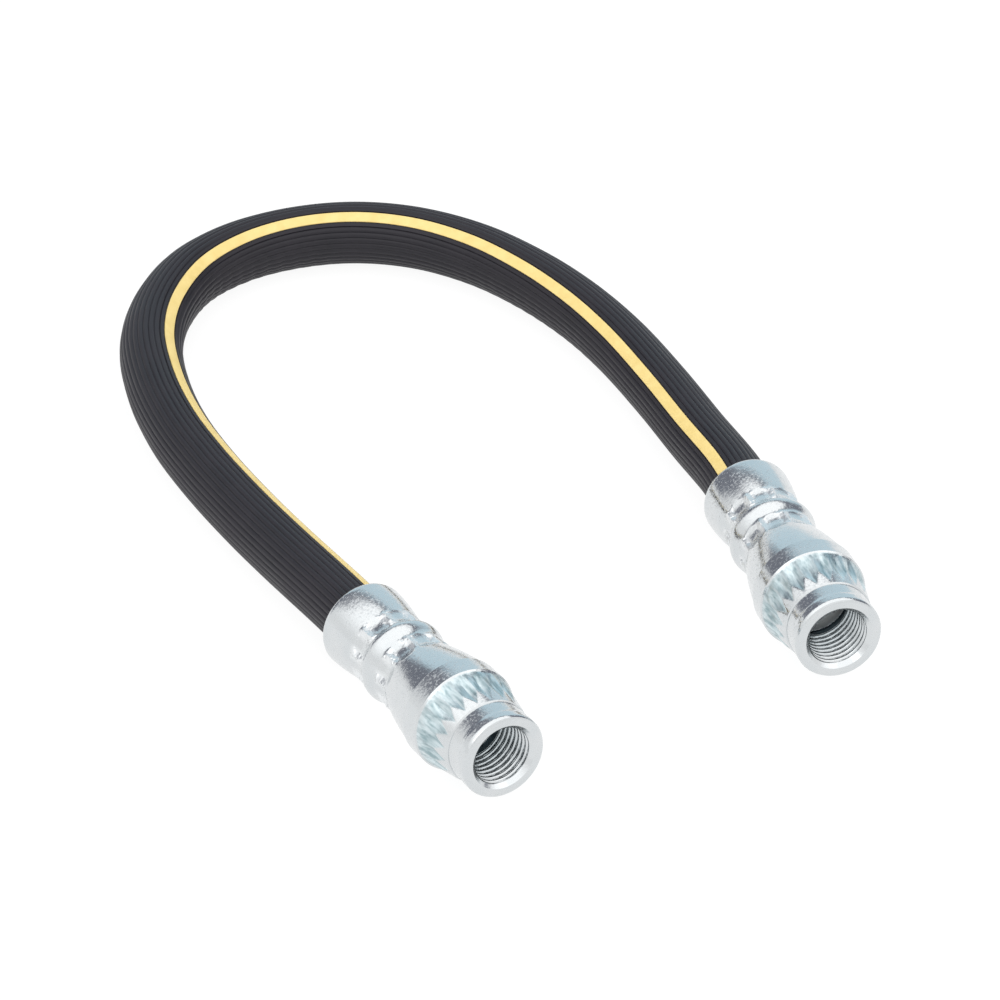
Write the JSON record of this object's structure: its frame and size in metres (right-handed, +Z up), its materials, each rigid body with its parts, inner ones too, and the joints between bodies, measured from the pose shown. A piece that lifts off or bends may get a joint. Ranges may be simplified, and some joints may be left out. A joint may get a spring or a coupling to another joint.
{
  "type": "brake hose",
  "caption": "Flexible hydraulic brake hose: a ribbed rubber hose bent in a loop, with a crimped, serrated steel fitting with a female threaded port at each end.",
  "frame": {"origin": "on the ground under the middle of the box round the two end fittings", "axes": "+Z up, -Y the way the two ports face, +X towards the right fitting; the hose loops back towards +Y"},
  "size_m": [0.0833, 0.1532, 0.0166],
  "materials": {
    "zinc_steel": "bright zinc plating, satin",
    "plain_steel": "plain drawn steel",
    "hose_rubber": "extruded black rubber with fine lengthwise ribs",
    "stripe_yellow": "yellow lay stripe vulcanised into the cover"
  },
  "bodies": {
    "root": {"end_fitting_left": "zinc_steel", "end_fitting_right": "zinc_steel", "hose_insert_left": "plain_steel", "hose_insert_right": "plain_steel", "hose": "hose_rubber"}
  },
  "joints": []
}
